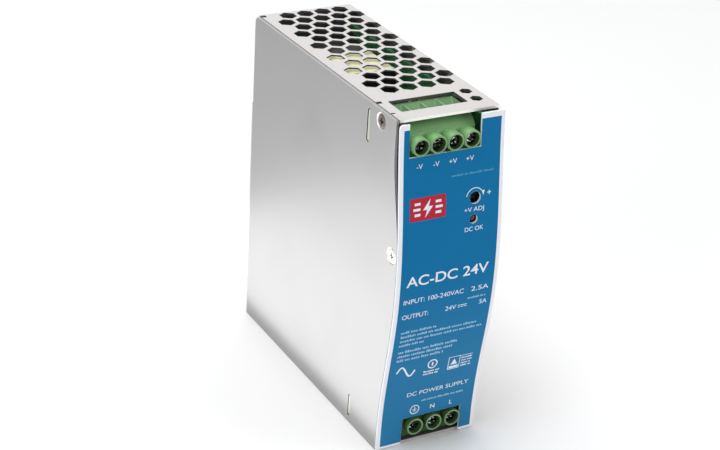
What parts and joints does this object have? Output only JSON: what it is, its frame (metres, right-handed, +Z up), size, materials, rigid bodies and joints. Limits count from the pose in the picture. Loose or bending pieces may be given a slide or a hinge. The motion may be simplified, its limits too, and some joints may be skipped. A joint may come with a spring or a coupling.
{
  "type": "din rail power supply",
  "caption": "Tall narrow sheet-metal power supply with a wave-shaped printed front, screw terminals, vented top and a sprung rail clip.",
  "frame": {"origin": "centre of the base of the whole object", "axes": "+Z up, +Y towards the rail clip at the back, the printed front faces -Y, +X to the right seen from the front"},
  "size_m": [0.04, 0.1193, 0.1252],
  "materials": {
    "case_metal": "plain satin sheet, slightly brushed",
    "front_print": "satin blue print with a white border",
    "terminal_plastic": "moulded green plastic, slightly glossy",
    "screw_steel": "plated steel",
    "clamp_metal": "nickel-plated, bright",
    "clip_steel": "zinc-plated steel",
    "board_laminate": "green solder resist",
    "trimmer_blue": "moulded blue plastic",
    "trimmer_dark": "moulded dark plastic",
    "led_red": "clear red epoxy",
    "ferrite": "matt dark grey",
    "winding_tape": "pale yellow tape, slightly glossy",
    "copper_wire": "enamelled copper wire",
    "coil_wrap": "beige varnished winding",
    "can_sleeve": "shrunk plastic sleeve",
    "film_yellow": "moulded box",
    "disc_blue": "dipped coating",
    "fuse_ceramic": "white ceramic with metal caps",
    "thermistor_green": "dipped coating",
    "heatsink_metal": "extruded, black anodised",
    "black_package": "moulded epoxy",
    "white_package": "moulded epoxy",
    "insulation_film": "thin translucent film"
  },
  "bodies": {
    "case": {"chassis": "case_metal", "side_cover": "case_metal", "front_panel": "case_metal", "front_label": "front_print", "cover_screw_top": "screw_steel", "cover_screw_front": "screw_steel", "output_terminal_housing": "terminal_plastic", "input_terminal_housing": "terminal_plastic", "rail_bracket": "clip_steel", "bracket_screw_1": "screw_steel", "bracket_screw_2": "screw_steel", "latch_spring": "clip_steel", "negative_contact": "clamp_metal", "positive_contact": "clamp_metal", "input_contact_1": "clamp_metal", "input_contact_2": "clamp_metal", "input_contact_3": "clamp_metal", "main_board": "board_laminate", "front_board": "board_laminate", "trimmer_body": "trimmer_blue", "status_led": "led_red", "transformer_core": "ferrite", "transformer_winding": "winding_tape", "bulk_capacitor": "can_sleeve", "output_capacitor_1": "can_sleeve", "output_capacitor_2": "can_sleeve", "output_capacitor_3": "can_sleeve", "primary_heatsink": "heatsink_metal", "secondary_heatsink": "heatsink_metal", "power_transistor": "black_package", "output_rectifier": "black_package", "bridge_rectifier": "black_package", "choke_core": "ferrite", "choke_winding_1": "copper_wire", "choke_winding_2": "copper_wire", "x_capacitor": "film_yellow", "y_capacitor": "disc_blue", "fuse": "fuse_ceramic", "thermistor": "thermistor_green", "output_inductor": "coil_wrap", "control_ic": "black_package", "optocoupler": "white_package", "insulation_sheet": "insulation_film"},
    "output_screw_1": {"output_screw_1": "screw_steel"},
    "output_clamp_1": {"output_clamp_1": "clamp_metal"},
    "output_screw_2": {"output_screw_2": "screw_steel"},
    "output_clamp_2": {"output_clamp_2": "clamp_metal"},
    "output_screw_3": {"output_screw_3": "screw_steel"},
    "output_clamp_3": {"output_clamp_3": "clamp_metal"},
    "output_screw_4": {"output_screw_4": "screw_steel"},
    "output_clamp_4": {"output_clamp_4": "clamp_metal"},
    "input_screw_1": {"input_screw_1": "screw_steel"},
    "input_clamp_1": {"input_clamp_1": "clamp_metal"},
    "input_screw_2": {"input_screw_2": "screw_steel"},
    "input_clamp_2": {"input_clamp_2": "clamp_metal"},
    "input_screw_3": {"input_screw_3": "screw_steel"},
    "input_clamp_3": {"input_clamp_3": "clamp_metal"},
    "trimmer_rotor": {"trimmer_rotor": "trimmer_dark"},
    "rail_latch": {"rail_latch": "clip_steel"}
  },
  "joints": [
    {"name": "output_screw_1_turn", "type": "hinge", "parent": "case", "child": "output_screw_1", "pos_m": [-0.0124, -0.0548, 0.1165], "axis": [0, 1, 0], "range_deg": [0, 1440]},
    {"name": "output_clamp_1_rise", "type": "slide", "parent": "case", "child": "output_clamp_1", "axis": [0, -1, 0], "range_m": [0, 0.002]},
    {"name": "output_screw_2_turn", "type": "hinge", "parent": "case", "child": "output_screw_2", "pos_m": [-0.00594, -0.0548, 0.1165], "axis": [0, 1, 0], "range_deg": [0, 1440]},
    {"name": "output_clamp_2_rise", "type": "slide", "parent": "case", "child": "output_clamp_2", "axis": [0, -1, 0], "range_m": [0, 0.002]},
    {"name": "output_screw_3_turn", "type": "hinge", "parent": "case", "child": "output_screw_3", "pos_m": [0.00053, -0.0548, 0.1165], "axis": [0, 1, 0], "range_deg": [0, 1440]},
    {"name": "output_clamp_3_rise", "type": "slide", "parent": "case", "child": "output_clamp_3", "axis": [0, -1, 0], "range_m": [0, 0.002]},
    {"name": "output_screw_4_turn", "type": "hinge", "parent": "case", "child": "output_screw_4", "pos_m": [0.007, -0.0548, 0.1165], "axis": [0, 1, 0], "range_deg": [0, 1440]},
    {"name": "output_clamp_4_rise", "type": "slide", "parent": "case", "child": "output_clamp_4", "axis": [0, -1, 0], "range_m": [0, 0.002]},
    {"name": "input_screw_1_turn", "type": "hinge", "parent": "case", "child": "input_screw_1", "pos_m": [-0.00532, -0.0538, 0.0072], "axis": [0, 1, 0], "range_deg": [0, 1440]},
    {"name": "input_clamp_1_rise", "type": "slide", "parent": "case", "child": "input_clamp_1", "axis": [0, -1, 0], "range_m": [0, 0.002]},
    {"name": "input_screw_2_turn", "type": "hinge", "parent": "case", "child": "input_screw_2", "pos_m": [0.0023, -0.0538, 0.0072], "axis": [0, 1, 0], "range_deg": [0, 1440]},
    {"name": "input_clamp_2_rise", "type": "slide", "parent": "case", "child": "input_clamp_2", "axis": [0, -1, 0], "range_m": [0, 0.002]},
    {"name": "input_screw_3_turn", "type": "hinge", "parent": "case", "child": "input_screw_3", "pos_m": [0.00992, -0.0538, 0.0072], "axis": [0, 1, 0], "range_deg": [0, 1440]},
    {"name": "input_clamp_3_rise", "type": "slide", "parent": "case", "child": "input_clamp_3", "axis": [0, -1, 0], "range_m": [0, 0.002]},
    {"name": "trimmer_turn", "type": "hinge", "parent": "case", "child": "trimmer_rotor", "pos_m": [0.0092, -0.0555, 0.0955], "axis": [0, 1, 0], "range_deg": [-130, 130]},
    {"name": "rail_latch_slide", "type": "slide", "parent": "case", "child": "rail_latch", "axis": [0, 0, -1], "range_m": [0, 0.0045], "stiffness_N_per_m": 800, "springref_m": -0.004, "deforming": ["latch_spring"]}
  ],
  "couplings": [
    {"joint": "output_screw_1_turn", "follows": "output_clamp_1_rise", "rad_per_m": 12566},
    {"joint": "output_screw_2_turn", "follows": "output_clamp_2_rise", "rad_per_m": 12566},
    {"joint": "output_screw_3_turn", "follows": "output_clamp_3_rise", "rad_per_m": 12566},
    {"joint": "output_screw_4_turn", "follows": "output_clamp_4_rise", "rad_per_m": 12566},
    {"joint": "input_screw_1_turn", "follows": "input_clamp_1_rise", "rad_per_m": 12566},
    {"joint": "input_screw_2_turn", "follows": "input_clamp_2_rise", "rad_per_m": 12566},
    {"joint": "input_screw_3_turn", "follows": "input_clamp_3_rise", "rad_per_m": 12566}
  ]
}
